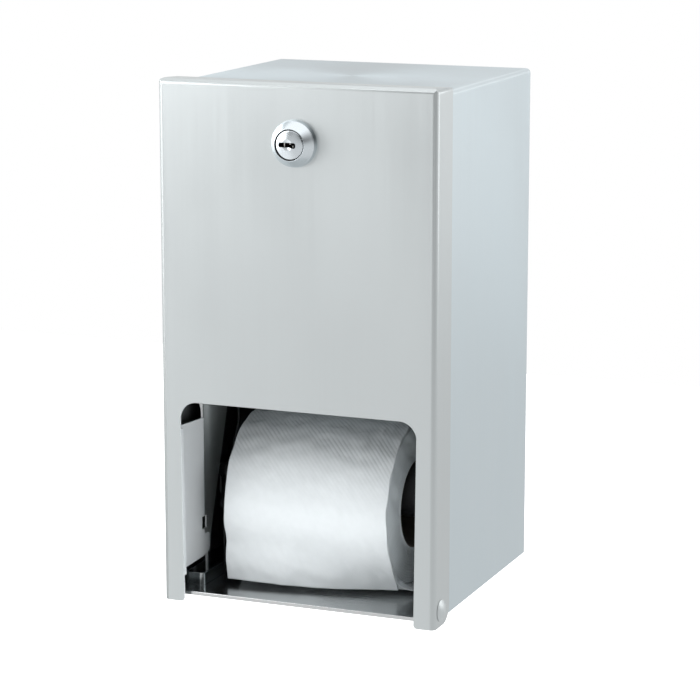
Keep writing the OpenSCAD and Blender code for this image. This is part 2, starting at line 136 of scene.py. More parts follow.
# Bright and dark zones: azimuth, elevation, angle out to which each is full, angle where it ends, amount
ZONES = [
    (52, 25, 8, 40, -0.72), (14, 20, 5, 28, -0.45), (55, 12, 3, 20, 0.11), (-48, -28, 8, 34, 0.37),
    (-35, 30, 8, 30, -0.40),
]
WHITE = (1, 1, 1, 1)


def light_world():
    """The studio all round: a white backdrop for the camera, and its own pattern of light for the object."""
    world = bpy.data.worlds.new("studio")
    scene.world = world
    world.use_nodes = True
    node = graph(world.node_tree)
    direction = node("ShaderNodeTexCoord").outputs["Generated"]
    height = node("ShaderNodeSeparateXYZ", {0: direction}).outputs[2]

    def with_part(total, value, start, full, amount):
        part = node("ShaderNodeMapRange", {0: value, 1: start, 2: full, 3: 0.0, 4: amount},
                    interpolation_type="SMOOTHSTEP")
        return maths(node, "ADD", total, part.outputs[0])

    total = AROUND
    for start, full, amount in BY_HEIGHT:
        total = with_part(total, height, start, full, amount)
    for azimuth, elevation, full, end, amount in ZONES:
        facing = node("ShaderNodeVectorMath", {0: direction, 1: toward(azimuth, elevation)},
                      operation="DOT_PRODUCT").outputs["Value"]
        total = with_part(total, facing, math.cos(math.radians(end)), math.cos(math.radians(full)), amount)
    around = node("ShaderNodeBackground", {0: WHITE, 1: maths(node, "MAXIMUM", total, LEAST)})
    backdrop = node("ShaderNodeBackground", {0: WHITE, 1: 1.0})
    seen = node("ShaderNodeLightPath").outputs["Is Camera Ray"]
    mix = node("ShaderNodeMixShader", {0: seen, 1: around.outputs[0], 2: backdrop.outputs[0]})
    node("ShaderNodeOutputWorld", {0: mix.outputs[0]})


# Lamps: name, azimuth, elevation, distance and size in metres, watts, whether reflections show it
LAMPS = [
    ("key_wide", -60, 12, 1.1, (0.8, 0.9), 5.1, True),
    ("key_near", -40, 22, 0.9, (0.45, 0.5), 2.05, True),
    ("back", 125, 12, 1.3, (0.9, 0.9), 2.75, True),
    ("top", 0, 80, 1.1, (0.9, 0.7), 42.0, False),
    ("fill", 55, -2, 1.1, (0.5, 0.5), 3.3, False),
]
LIT_POINT = Vector((0, -0.1, 0))


def add_lamp(name, azimuth, elevation, distance, size, watts, reflected):
    data = bpy.data.lights.new(name, "AREA")
    data.shape = "RECTANGLE"
    data.size, data.size_y = size
    data.energy = watts
    lamp = bpy.data.objects.new(name, data)
    scene.collection.objects.link(lamp)
    lamp.location = toward(azimuth, elevation) * distance
    lamp.rotation_euler = (LIT_POINT - lamp.location).to_track_quat("-Z", "Y").to_euler()
    lamp.visible_camera = False
    lamp.visible_glossy = reflected


FLOOR_Z, FLOOR_HALF = -1.6, 7.0


def pale_floor():
    """A plain floor far below the unit, which hangs on a wall."""
    mesh = bpy.data.meshes.new("floor")
    corners = [(x * FLOOR_HALF, y * FLOOR_HALF, FLOOR_Z) for x, y in ((-1, -1), (1, -1), (1, 1), (-1, 1))]
    mesh.from_pydata(corners, [], [(0, 1, 2, 3)])
    floor = bpy.data.objects.new("floor", mesh)
    scene.collection.objects.link(floor)
    finish_material(new_material("pale_floor"), {
        "Base Color": (0.8, 0.8, 0.8, 1), "Roughness": 0.9,
        "Emission Color": WHITE, "Emission Strength": 0.85,
    })
    mesh.materials.append(MATERIALS["pale_floor"])
    floor.visible_glossy = False


light_world()
for lamp_values in LAMPS:
    add_lamp(*lamp_values)
pale_floor()

# ---- materials ----


def scaled(color, share):
    return tuple(c * share for c in color)


def spread(node, value, low, high):
    """Maps a noise value, most of which lies between 0.25 and 0.75, to low to high."""
    return node("ShaderNodeMapRange", {0: value, 1: 0.25, 2: 0.75, 3: low, 4: high}).outputs[0]


def tint(node, value, dark, light):
    """A colour between dark and light, by a noise value."""
    share = spread(node, value, 0.0, 1.0)
    return node("ShaderNodeMix", {0: share, 6: (*dark, 1), 7: (*light, 1)}, data_type="RGBA").outputs[2]


def noise_of(node, scale, detail, rough=0.55):
    """Noise in object coordinates; scale is three counts per metre."""
    stretched = node("ShaderNodeMapping", {0: node("ShaderNodeTexCoord").outputs["Object"], 3: scale})
    return node("ShaderNodeTexNoise", {
        "Vector": stretched.outputs[0], "Scale": 1.0, "Detail": detail, "Roughness": rough,
    }).outputs[0]


def bump_of(node, height, strength, distance, under=None):
    """A normal with height's relief; distance is in metres, and under is a coarser relief below it."""
    inputs = {"Height": height, "Strength": strength, "Distance": distance}
    if under:
        inputs["Normal"] = under
    return node("ShaderNodeBump", inputs).outputs[0]


# Brushed grain: counts per metre across it and along it
ACROSS, ALONG = 2600, 14
GRAIN = {"z": (ACROSS, ACROSS, ALONG), "x": (ALONG, ACROSS, ACROSS)}


def brushed(name, color, rough, along="z", anisotropy=0.5, contrast=0.03, bump=0.06):
    """Sheet steel with grain along one axis."""
    node = new_material(name)
    fine = noise_of(node, GRAIN[along], 4.0)
    broad = noise_of(node, scaled(GRAIN[along], 1 / 3), 2.0)
    cloud = noise_of(node, (18, 18, 11), 2.0)
    grain = maths(node, "MULTIPLY", maths(node, "ADD", fine, broad), 0.5)
    uneven = maths(node, "MULTIPLY", grain, cloud)
    finish_material(node, {
        "Base Color": tint(node, grain, scaled(color, 1 - contrast), scaled(color, 1 + contrast)),
        "Metallic": 1.0, "Roughness": maths(node, "MULTIPLY_ADD", uneven, 0.5, rough - 0.1),
        "Anisotropic": anisotropy,
        "Tangent": node("ShaderNodeTangent", direction_type="RADIAL", axis="Z").outputs[0],
        "Normal": bump_of(node, grain, bump, 0.00006),
    })


def satin(name, color, rough, metal):
    """Dull zinc-plated or mill-finished sheet with a soft mottle; a low metal value makes it half matt."""
    node = new_material(name)
    fine = noise_of(node, (900, 900, 160), 3.0)
    cloud = noise_of(node, (35, 35, 22), 3.0)
    finish_material(node, {
        "Base Color": tint(node, cloud, scaled(color, 0.92), color), "Metallic": metal,
        "Roughness": spread(node, fine, rough - 0.05, rough + 0.07),
        "Normal": bump_of(node, fine, 0.08, 0.00005),
    })


def polished(name, color, rough):
    """Plated or polished metal with faint fine scratches."""
    node = new_material(name)
    fine = noise_of(node, (1400, 1400, 1400), 4.0)
    cloud = noise_of(node, (90, 90, 90), 3.0)
    finish_material(node, {
        "Base Color": tint(node, cloud, scaled(color, 0.97), color), "Metallic": 1.0,
        "Roughness": spread(node, maths(node, "MULTIPLY", fine, cloud), rough, rough + 0.05),
        "Normal": bump_of(node, fine, 0.03, 0.00003),
    })


def moulded(name, color, rough):
    """Moulded plastic with a fine spark-eroded grain."""
    node = new_material(name)
    grain = noise_of(node, (2200, 2200, 2200), 2.0)
    cloud = noise_of(node, (60, 60, 60), 2.0)
    finish_material(node, {
        "Base Color": tint(node, cloud, scaled(color, 0.85), color),
        "Roughness": spread(node, grain, rough - 0.06, rough + 0.08),
        "Normal": bump_of(node, grain, 0.15, 0.00005),
    })


def tissue(name, color):
    """Soft paper or card: matt, with fibres and a faint mottle."""
    node = new_material(name)
    fibre = noise_of(node, (3000, 900, 900), 5.0, rough=0.7)
    mottle = noise_of(node, (260, 260, 260), 3.0)
    cloud = noise_of(node, (40, 40, 40), 2.0)
    stain = maths(node, "MULTIPLY", maths(node, "MULTIPLY", mottle, cloud), 2.0)
    finish_material(node, {
        "Base Color": tint(node, stain, scaled(color, 0.965), color),
        "Roughness": 0.95, "Specular IOR Level": 0.2, "Sheen Weight": 0.08, "Sheen Roughness": 0.6,
        "Normal": bump_of(node, fibre, 0.3, 0.0001, under=bump_of(node, mottle, 0.25, 0.0002)),
    })


brushed("door_steel", (0.620, 0.659, 0.667), 0.33, contrast=0.012, bump=0.03)
brushed("cabinet_steel", (0.65, 0.726, 0.760), 0.34)
# A darker copy of the door's steel for its left bend: painted shade that damps the bend's highlight
brushed("left_bend_painted_shade", (0.45, 0.478, 0.484), 0.42)
# A darker copy of the door's steel for its top bend: painted shade that damps the bend's highlight
brushed("top_bend_painted_shade", (0.57, 0.605, 0.612), 0.40)
# A lighter copy of the cabinet's steel for the roof's bend: painted light
brushed("roof_bend_painted_light", (0.72, 0.79, 0.82), 0.40)
brushed("floor_steel", (0.60, 0.615, 0.62), 0.19, along="x", anisotropy=0.2, contrast=0.08)
brushed("plate_steel", (0.58, 0.60, 0.61), 0.3)
satin("guard_steel", (0.80, 0.84, 0.86), 0.45, metal=0.34)
# A darker copy of the steel for the insides of the cabinet and the door: painted shade
satin("inside_painted_shade", (0.30, 0.32, 0.33), 0.45, metal=1.0)
# A near-black copy of the steel for the track plates and release levers inside: painted shade
satin("track_painted_shade", (0.14, 0.15, 0.16), 0.45, metal=1.0)
satin("plate_shade", (0.62, 0.66, 0.66), 0.5, metal=0.92)
# Matt white for the guards' front lips: a painted highlight
satin("lip_painted_highlight", (0.93, 0.95, 0.96), 0.4, metal=0.0)
# A darker polished copy of the steel for the foot brackets low inside: painted shade
polished("bracket_painted_shade", (0.42, 0.45, 0.46), 0.2)
polished("rivet_steel", (0.64, 0.68, 0.69), 0.44)
polished("lock_chrome", (0.71, 0.765, 0.80), 0.18)
polished("zinc_steel", (0.62, 0.63, 0.60), 0.3)
polished("nut_brass", (0.72, 0.53, 0.25), 0.25)
# Near-black for the lock's keyway and the groove round its plug: painted shade in these recesses
moulded("keyway_painted_shade", (0.006, 0.006, 0.007), 0.6)
moulded("washer_nylon", (0.85, 0.85, 0.83), 0.45)
moulded("spindle_plastic", (0.018, 0.018, 0.02), 0.4)
tissue("tissue", (0.615, 0.652, 0.669))
# Card for the cores, darker than card is: its own grey-brown, and painted shade in the cores' bores
tissue("core_board", (0.10, 0.085, 0.07))

SIDES = ("left", "right")


def pair(name):
    return [name + "_" + side for side in SIDES]


SLOT_NODES = {
    "door_steel": ["door_panel"],
    "cabinet_steel": ["cabinet_wrap", "back_panel", "floor_panel"],
    "plate_steel": ["lock_strike", "plate_studs", "lever_clips", *pair("spindle_guard"), *pair("track_plate"),
                    *pair("foot_bracket"), *pair("lever_pin"), *pair("release_lever")],
    "rivet_steel": pair("hinge_rivet"),
    "washer_nylon": ["hinge_washers"],
    "lock_chrome": ["lock_housing", "lock_plug"],
    "zinc_steel": ["lock_washer", "lock_cam", "cam_screw"],
    "nut_brass": ["lock_nut"],
    "spindle_plastic": ["spindle_lower", "spindle_upper"],
    "tissue": ["roll_lower", "roll_upper", "slack_plies", "paper_tail"],
    "core_board": ["core_lower", "core_upper"],
}
SLOT_OF = {node_name: slot for slot, names in SLOT_NODES.items() for node_name in names}

# Nodes that have another finish than the one named after their slot; those of the back panel, the track
# plates, the release levers and the foot brackets are darker copies of steel, which is painted shade
OWN_FINISH = {
    "floor_steel": ["floor_panel"],
    "guard_steel": pair("spindle_guard"),
    "track_painted_shade": pair("track_plate") + pair("release_lever"),
    "bracket_painted_shade": pair("foot_bracket"),
    "inside_painted_shade": ["back_panel"],
}
FINISH_OF = SLOT_OF | {node_name: finish for finish, names in OWN_FINISH.items() for node_name in names}

# ---- making pieces ----


def add_piece(name, mesh, node_name):
    """A new piece that stands for a CAD node, rides on its body and takes the node's finish."""
    piece = bpy.data.objects.new(name, mesh)
    scene.collection.objects.link(piece)
    if not mesh.materials:
        mesh.materials.append(MATERIALS[FINISH_OF[node_name]])
    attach(piece, body_of_node[node_name])
    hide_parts(node_name)
    return piece


def second_finish(piece, finish, picks):
    """Gives the faces that picks(x, depth, height, normal) names, by their centres, another finish."""
    mesh = piece.data
    mesh.materials.append(MATERIALS[finish])
    for face in mesh.polygons:
        x, y, z = (c / MM for c in face.center)
        if picks(x, y + UNIT_DEPTH, z + HALF_HEIGHT, face.normal):
            face.material_index = len(mesh.materials) - 1


def mesh_of(name, points, faces, sharp=None, weld=None):
    """A smooth-shaded mesh from faces and points (x, depth, height) in millimetres.

    Edges bent by more than sharp degrees stay sharp, and points nearer than weld are joined."""
    metres = (np.asarray(points, float) - (0, UNIT_DEPTH, HALF_HEIGHT)) * MM
    mesh = bpy.data.meshes.new(name)
    mesh.from_pydata(metres.tolist(), [], [list(map(int, face)) for face in faces])
    work = bmesh.new()
    work.from_mesh(mesh)
    if weld:
        bmesh.ops.remove_doubles(work, verts=work.verts, dist=weld * MM)
    bmesh.ops.recalc_face_normals(work, faces=work.faces)
    work.to_mesh(mesh)
    work.free()
    mesh.shade_smooth()
    if sharp is not None:
        mesh.set_sharp_from_angle(angle=math.radians(sharp))
    return mesh


def numbered(grid, first=0):
    """The point numbers of a grid of points."""
    rows, columns = grid.shape[:2]
    return np.arange(rows * columns).reshape(rows, columns) + first


def grid_faces(index, wrap_rows=False, wrap_columns=False):
    """Quads of a grid of point numbers."""
    top = index if wrap_rows else index[:-1]
    down = np.roll(index, -1, axis=0) if wrap_rows else index[1:]
    if wrap_columns:
        corners = [top, np.roll(top, -1, axis=1), np.roll(down, -1, axis=1), down]
    else:
        corners = [top[:, :-1], top[:, 1:], down[:, 1:], down[:, :-1]]
    return np.stack(corners, -1).reshape(-1, 4)


def shell_mesh(name, front, back):
    """A closed thin sheet between two grids of points."""
    index = numbered(front)
    rim = np.concatenate([index[0, :], index[1:, -1], index[-1, -2::-1], index[-2:0:-1, 0]])
    after = np.roll(rim, -1)
    edge = np.stack([rim, after, after + index.size, rim + index.size], -1)
    faces = np.concatenate([grid_faces(index), grid_faces(index) + index.size, edge])
    return mesh_of(name, np.concatenate([front.reshape(-1, 3), back.reshape(-1, 3)]), faces)


def grids_mesh(name, grids, sharp, weld):
    """One mesh of several grids of points that meet at their edges."""
    faces, first = [], 0
    for grid in grids:
        index = numbered(grid, first)
        faces.append(grid_faces(index))
        first += index.size
    points = np.concatenate([grid.reshape(-1, 3) for grid in grids])
    return mesh_of(name, points, np.concatenate(faces), sharp, weld)


RIPPLE_WAVES = 9


def ripple(points, size, seed):
    """Smooth irregular waves from -1 to 1 over points in space, about size millimetres long."""
    draw = np.random.default_rng(seed)
    total = np.zeros(points.shape[:-1])
    for _ in range(RIPPLE_WAVES):
        way = draw.normal(size=3)
        way *= 2 * math.pi / (size * draw.uniform(0.75, 1.6) * np.linalg.norm(way))
        total += np.sin(points @ way + draw.uniform(0, 2 * math.pi))
    return np.clip(total / math.sqrt(RIPPLE_WAVES), -1, 1)


def waves(points, heights):
    """Several ripples added up, each given as its height, length and seed."""
    return sum(height * ripple(points, size, seed) for height, size, seed in heights)


def ease(value, start, full):
    """Rises smoothly from 0 at start to 1 at full."""
    t = np.clip((value - start) / (full - start), 0, 1)
    return t * t * (3 - 2 * t)


def arc(centre, radius, angles):
    """Points on a circle in a flat view, at angles in radians."""
    return np.stack([centre[0] + radius * np.cos(angles), centre[1] + radius * np.sin(angles)], -1)


def resampled(line, count):
    """A flat line again, as count points an equal way apart."""
    run = np.concatenate([[0], np.cumsum(np.linalg.norm(np.diff(line, axis=0), axis=1))])
    even = np.linspace(0, run[-1], count)
    return np.stack([np.interp(even, run, line[:, k]) for k in (0, 1)], -1)


def smoothed(line, reach):
    """A line whose points are the mean of those up to reach away on each side; its ends stay."""
    padded = np.pad(line, ((reach, reach), (0, 0)), mode="reflect", reflect_type="odd")
    return sum(padded[k:k + len(line)] for k in range(2 * reach + 1)) / (2 * reach + 1)


def softened(loop, radius, steps=4):
    """A closed loop of flat points with its corners rounded."""
    loop = [np.array(point, float) for point in loop]
    out = []
    for i, corner in enumerate(loop):
        before, after = loop[i - 1] - corner, loop[(i + 1) % len(loop)] - corner
        reach = min(radius, 0.45 * np.linalg.norm(before), 0.45 * np.linalg.norm(after))
        a = corner + before / np.linalg.norm(before) * reach
        b = corner + after / np.linalg.norm(after) * reach
        for t in np.linspace(0, 1, steps):
            out.append((1 - t) ** 2 * a + 2 * t * (1 - t) * corner + t * t * b)
    return np.array(out)


def turned(name, loop, axis, centre, segments, moved=None, sharp=60):
    """A ring turned from a closed loop of (radius, along) points.

    It turns about x at centre (depth, height), or about the depth at centre (x, height).
    moved(points, radius, along) gives how far each point goes inward and along."""
    turn = np.linspace(0, 2 * math.pi, segments, endpoint=False)[:, None]
    radius = np.repeat(loop[None, :, 0], segments, 0)
    along = np.repeat(loop[None, :, 1], segments, 0)

    def in_space(radius, along):
        a, b = centre[0] + radius * np.cos(turn), centre[1] + radius * np.sin(turn)
        return np.stack([along, a, b] if axis == "x" else [a, along, b], -1)

    points = in_space(radius, along)
    if moved:
        inward, shift = moved(points, radius, along)
        points = in_space(radius - inward, along + shift)
    faces = grid_faces(numbered(points), True, True)
    return mesh_of(name, points.reshape(-1, 3), faces, sharp, weld=0.002)


# ---- folded sheets and other plain metal and plastic nodes, with broken edges ----

# How wide each node's edges are broken
EDGE_WIDTHS = {
    "door_panel": 0.25, "cabinet_wrap": 0.2, "floor_panel": 0.25, "back_panel": 0.2,
    **dict.fromkeys(pair("spindle_guard"), 0.22),
    **dict.fromkeys(pair("track_plate") + pair("foot_bracket"), 0.2),
    "lock_strike": 0.2, "lock_nut": 0.3, "lock_cam": 0.2,
    **dict.fromkeys(pair("release_lever"), 0.25),
    "spindle_lower": 0.4, "spindle_upper": 0.4,
}
# An edge is broken where its faces turn by more than this; faces that turn by less than LEVEL are one
SHARP, LEVEL = math.radians(35), math.radians(0.6)


def finished_copy(node_name, width):
    """The CAD node's shape with its cut edges broken, as deburred sheet and turned parts have them."""
    work = bmesh.new()
    work.from_mesh(frame["nodes"][node_name].data)
    bmesh.ops.remove_doubles(work, verts=work.verts, dist=0.002 * MM)
    bmesh.ops.dissolve_limit(work, angle_limit=LEVEL, verts=work.verts, edges=work.edges)
    work.verts.index_update()
    mesh = bpy.data.meshes.new(node_name)
    faces = [[v.index for v in face.verts] for face in work.faces]
    mesh.from_pydata([v.co[:] for v in work.verts], [], faces)
    work.free()
    mesh.update()
    mesh.shade_smooth()
    mesh.set_sharp_from_angle(angle=SHARP)
    piece = add_piece(node_name + "_finished", mesh, node_name)
    bevel = piece.modifiers.new("broken_edges", "BEVEL")
    bevel.width = width * MM
    bevel.segments = 2
    bevel.limit_method = "ANGLE"
    bevel.angle_limit = SHARP
    bevel.use_clamp_overlap = True
    normals = piece.modifiers.new("flat_faces", "WEIGHTED_NORMAL")
    normals.keep_sharp = True
    normals.weight = 90
    return piece


# The inner faces of the cabinet's walls lie within WALL_IN, and the roof's between the other two; they take
# painted shade
WALL_IN, UNDER_ROOF, ROOF_IN = 74.6, 200, 274.9
# The lips at the sides of the door's opening lie within these
OPENING_SIDE, LIP_DEPTH = 68, 4
# The door's outer bends are in front of BEND_DEPTH; the rest say where the top and left bends and the
# cabinet's roof bend start
BEND_DEPTH, TOP_BEND_FROM, LEFT_BEND_FROM, ROOF_BEND_FROM = 3.2, 275, -70, 270
# The guards: the heights from which their flat sides take painted shade and their front lips a painted white
# highlight
GUARD_FLAT_FROM, GUARD_LIP_FROM = 21.5, 95


def slanting(part):
    """Whether a part of a face's normal says that the face lies on a bend, between two flat faces."""
    return 0.08 < part < 0.98


def second_finishes():
    """Faces of the folded sheets that take another finish than the rest of their piece: painted shade inside
    the cabinet and the door, on the door's left and top bends and on the guards' flat sides, and painted
    light on the roof's bend, the lips of the door's opening and the guards' front lips.
    """
    door, cabinet = pieces["door_panel"], pieces["cabinet_wrap"]
    second_finish(cabinet, "inside_painted_shade", lambda x, depth, height, n:
                  abs(x) < WALL_IN and abs(n[0]) > 0.5 or UNDER_ROOF < height < ROOF_IN and n[2] < -0.5)
    second_finish(door, "inside_painted_shade", lambda x, depth, height, n: n[1] > 0.5)
    second_finish(door, "left_bend_painted_shade", lambda x, depth, height, n:
                  x < LEFT_BEND_FROM and depth < BEND_DEPTH and slanting(-n[0]))
    second_finish(door, "top_bend_painted_shade", lambda x, depth, height, n:
                  height > TOP_BEND_FROM and depth < BEND_DEPTH and slanting(n[2]))
    second_finish(cabinet, "roof_bend_painted_light", lambda x, depth, height, n:
                  height > ROOF_BEND_FROM and n[0] > 0.08 and slanting(n[2]))
    # The lips beside the door's opening take the guards' satin: duller, as raw edges are, and lighter than
    # the door's steel, which is painted light
    second_finish(door, "guard_steel", lambda x, depth, height, n:
                  abs(n[0]) > 0.7 and abs(x) < OPENING_SIDE and depth < LIP_DEPTH)
    for guard in pair("spindle_guard"):
        second_finish(pieces[guard], "plate_shade", lambda x, depth, height, n:
                      abs(n[0]) > 0.998 and height > GUARD_FLAT_FROM)
        second_finish(pieces[guard], "lip_painted_highlight", lambda x, depth, height, n:
                      n[1] < -0.95 and height > GUARD_LIP_FROM)


pieces = {node_name: finished_copy(node_name, width) for node_name, width in EDGE_WIDTHS.items()}
second_finishes()

# ---- lock: depths are negative in front of the door's face ----

PLUG_R, LOCK_FRONT = 7.6, -7.8
GROOVE_R, GROOVE_BACK = PLUG_R + 0.4, LOCK_FRONT + 1.1
BORE_R, BARREL_R, FLANGE_R = PLUG_R + 0.05, PLUG_R + 1.5, 12.2
BARREL_BACK, TANG_R, TANG_BACK = 13, 3.5, 15.7
# The keyway's middle across, its length, and how far it goes in
KEY_X, KEY_W, KEY_IN = -1.1, 9.4, 7.5
# The plug's domed face: the depth of its edge, the dome's rise, and the depth of its foremost point
FACE_EDGE, FACE_DOME = LOCK_FRONT + 0.6, 1.0
FACE_TOP = FACE_EDGE - FACE_DOME


def lock_ring():
    """The lock's chromed collar, with the groove round the plug painted near-black as shade."""
    profile = [
        (BORE_R, BARREL_BACK), (BARREL_R, BARREL_BACK), (BARREL_R, 0.05), (FLANGE_R, 0.05), (FLANGE_R, -0.6),
        (11.8, -2.9), (11.5, -3.25), (GROOVE_R + 0.3, LOCK_FRONT + 0.1), (GROOVE_R + 0.1, LOCK_FRONT),
        (GROOVE_R, LOCK_FRONT + 0.12), (GROOVE_R, GROOVE_BACK), (BORE_R, GROOVE_BACK),
    ]
    mesh = turned("lock_ring", softened(profile, 0.18), "y", (LOCK_X, LOCK_H), 160)
    piece = add_piece("lock_ring", mesh, "lock_housing")
    second_finish(piece, "keyway_painted_shade", lambda x, depth, height, n:
                  math.hypot(x - LOCK_X, height - LOCK_H) < GROOVE_R + 0.03 and depth > LOCK_FRONT + 0.25)


def solid_of(name, line, centre, segments):
    """A solid turned about the depth at centre (x, height), from a line that starts and ends on its axis."""
    turn = np.linspace(0, 2 * math.pi, segments, endpoint=False)[:, None]
    radius, depth = np.array(line, float).T[:, None]
    points = np.stack([centre[0] + radius * np.cos(turn), np.repeat(depth, segments, 0),
                       centre[1] + radius * np.sin(turn)], -1)
    return mesh_of(name, points.reshape(-1, 3), grid_faces(numbered(points), True), 50, weld=0.002)


def cut_out(mesh, cutters):
    """The mesh less the cutters' meshes."""
    helpers = [bpy.data.objects.new("work", part) for part in [mesh] + cutters]
    for helper in helpers:
        scene.collection.objects.link(helper)
    body = helpers[0]
    for helper in helpers[1:]:
        cut = body.modifiers.new("cut", "BOOLEAN")
        cut.operation, cut.solver, cut.object = "DIFFERENCE", "EXACT", helper
    result = bpy.data.meshes.new_from_object(body.evaluated_get(bpy.context.evaluated_depsgraph_get()))
    for helper in helpers:
        bpy.data.objects.remove(helper)
    return result


def plug_mesh():
    """The plug with its shallow domed face, and the tang behind it that carries the cam."""
    ball = (PLUG_R ** 2 + FACE_DOME ** 2) / (2 * FACE_DOME)
    rings = np.linspace(0, PLUG_R - 0.45, 22)
    face = [(r, FACE_TOP + ball - math.sqrt(ball * ball - r * r)) for r in rings]
    shoulder = [(PLUG_R - 0.2, FACE_EDGE + 0.02), (PLUG_R - 0.06, FACE_EDGE + 0.16),
                (PLUG_R, FACE_EDGE + 0.4)]
    tang = [(PLUG_R, 13.9), (TANG_R, 13.9), (TANG_R, TANG_BACK), (0, TANG_BACK)]
    return solid_of("lock_face", face + shoulder + tang, (LOCK_X, LOCK_H), 128)


def keyway_mesh():
    """What the level keyway takes out of the plug, with the notches for the key's shape."""
    half = KEY_W / 2
    outline = softened([
        (-half, -0.8), (-half + 0.5, -1.2), (1.2, -1.2), (2.0, -1.6), (4.2, -1.6), (half, -1.0),
        (half, 0.7), (half - 0.6, 1.2), (-half + 0.5, 1.2), (-half, 0.8),
    ], 0.35, 3)
    count = len(outline)
    ends = (LOCK_FRONT - 3, LOCK_FRONT + KEY_IN)
    points = [(KEY_X + x, depth, LOCK_H + z) for depth in ends for x, z in outline]
    sides = grid_faces(np.arange(2 * count).reshape(2, count), False, True).tolist()
    return mesh_of("slot", points, sides + [list(range(count)), list(range(count, 2 * count))])


def dimple_mesh():
    """What the round dimple round the keyway takes out of the plug's face."""
    line = [(0, FACE_TOP - 1.0), (4.0, FACE_TOP - 1.0), (2.9, FACE_TOP + 0.12), (0.6, FACE_TOP + 0.75),
            (0, FACE_TOP + 0.75)]
    return solid_of("dimple", line, (KEY_X + 0.1, LOCK_H), 64)


def lock_face():
    """The plug with its dimple, and its keyway's walls painted near-black as shade."""
    mesh = cut_out(plug_mesh(), [dimple_mesh(), keyway_mesh()])
    mesh.shade_smooth()
    mesh.set_sharp_from_angle(angle=math.radians(28))
    mesh.materials.clear()
    piece = add_piece("lock_face", mesh, "lock_plug")

    def in_keyway(x, depth, height, n):
        beside = abs(x - KEY_X) < KEY_W / 2 + 0.1 and abs(height - LOCK_H) < 1.8
        wall = beside and FACE_TOP + 0.1 < depth < 0 and abs(n[1]) < 0.5
        end = -1.5 < depth < 2 and n[1] < -0.5
        return wall or end

    second_finish(piece, "keyway_painted_shade", in_keyway)


# The wafers' tips: x from the keyway's middle, depth, and their lowest and highest point in the keyway
WAFERS = [(-2.15, -5.4, -1.1, 1.1), (0.1, -3.4, -0.2, 1.1), (2.3, -5.0, -1.4, -0.5)]
WAFER_HALF_T, WAFER_HALF_DEPTH = 0.22, 0.5
BLOCK_CORNERS = 8
BLOCK_FACES = np.array([(0, 1, 3, 2), (4, 6, 7, 5), (0, 4, 5, 1), (2, 3, 7, 6), (0, 2, 6, 4), (1, 5, 7, 3)])


def lock_wafers():
    """The tips of the wafers that cross the keyway."""
    points = [(KEY_X + x + across * WAFER_HALF_T, depth + back * WAFER_HALF_DEPTH, LOCK_H + z)
              for x, depth, low, high in WAFERS
              for across in (-1, 1) for back in (-1, 1) for z in (low, high)]
    faces = np.concatenate([BLOCK_FACES + BLOCK_CORNERS * k for k in range(len(WAFERS))])
    mesh = mesh_of("lock_wafers", points, faces, 30)
    mesh.materials.append(MATERIALS["zinc_steel"])
    piece = bpy.data.objects.new("lock_wafers", mesh)
    scene.collection.objects.link(piece)
    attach(piece, "lock_cylinder")


lock_ring()
lock_face()
lock_wafers()

# ---- rolls ----

# An end face: the spacing of its rings of points, and of the ridges that the plies' edges make
RING_STEP, RIDGE_STEP = 0.45, 1.35
# How deep an end face lies everywhere, in its ridges and where it wanders
END_DEPTH, END_RIDGES, END_WANDER = 0.05, 0.4, 0.8
# How far the wound paper's skin lies inside the roll's outer radius, clear of the outer sheet
WOUND_INSET = 0.42


def wound_roll(node_name, roll, seed):
    """A roll whose end faces show the edges of its plies."""
    x0, x1 = roll.shift - ROLL_W / 2, roll.shift + ROLL_W / 2
    plies = np.arange(PAPER_R + 0.2, roll.radius - 0.7, RING_STEP)
    across = np.linspace(x0 + 0.9, x1 - 0.9, 40)
    edge = [(roll.radius - 0.7, 0), (roll.radius - 0.25, 0.1), (roll.radius - 0.05, 0.4)]
    right = [(r, x1) for r in plies] + [(r, x1 - inset) for r, inset in edge]
    left = [(r, x0 + inset) for r, inset in edge[::-1]] + [(r, x0) for r in plies[::-1]]
    bore = [(PAPER_R, x0 + 0.1), (PAPER_R, x1 - 0.1)]
    loop = np.array(right + [(roll.radius, x) for x in across[::-1]] + left + bore)

    def moved(points, radius, along):
        skin = ease(radius, roll.radius - 1.2, roll.radius - 0.2)
        inward = skin * (WOUND_INSET + waves(points, [(0.16, 16, seed), (0.08, 6, seed + 1)]))
        flat = 1 - ease(np.minimum(along - x0, x1 - along), 0.0, 0.6)
        ridge = 0.5 + 0.5 * np.sin(radius * 2 * math.pi / RIDGE_STEP + 2.2 * ripple(points, 30, seed + 2))
        wander = 0.5 + 0.5 * ripple(points * (0, 1, 1), 12, seed + 3)
        relief = END_DEPTH + END_RIDGES * ridge + END_WANDER * wander
        depth = flat * relief * ease(radius, PAPER_R, PAPER_R + 0.8)
        return inward, -depth * np.sign(along - roll.shift)

    mesh = turned(node_name, loop, "x", (roll.depth, roll.height), 200, moved, sharp=None)
    add_piece(node_name + "_wound", mesh, node_name)


# How far the spiral seam of a card core advances in a turn, and how high its step is
SEAM_PITCH, SEAM_STEP = 42, 0.22


